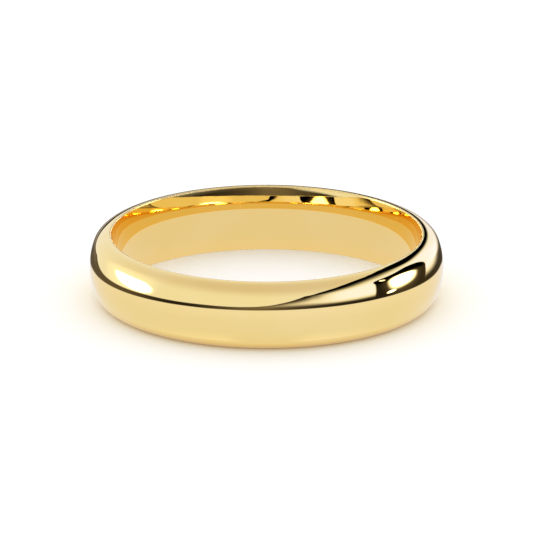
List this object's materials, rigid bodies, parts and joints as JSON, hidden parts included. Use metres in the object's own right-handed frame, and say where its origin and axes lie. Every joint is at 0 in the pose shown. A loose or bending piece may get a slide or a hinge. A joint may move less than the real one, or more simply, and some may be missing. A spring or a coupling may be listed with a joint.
{
  "type": "wedding band",
  "caption": "Plain polished yellow-gold finger ring with a domed outside and a comfort-eased bore, worn as a wedding band.",
  "frame": {"origin": "on the finger axis, in the plane of the lower side face that the band rests on", "axes": "+Z along the finger axis and up as the band lies on a table; X and Y are free, because the band is the same all the way round"},
  "size_m": [0.0208, 0.0208, 0.004],
  "materials": {
    "yellow_gold": "polished"
  },
  "bodies": {
    "root": {"band": "yellow_gold"}
  },
  "joints": []
}
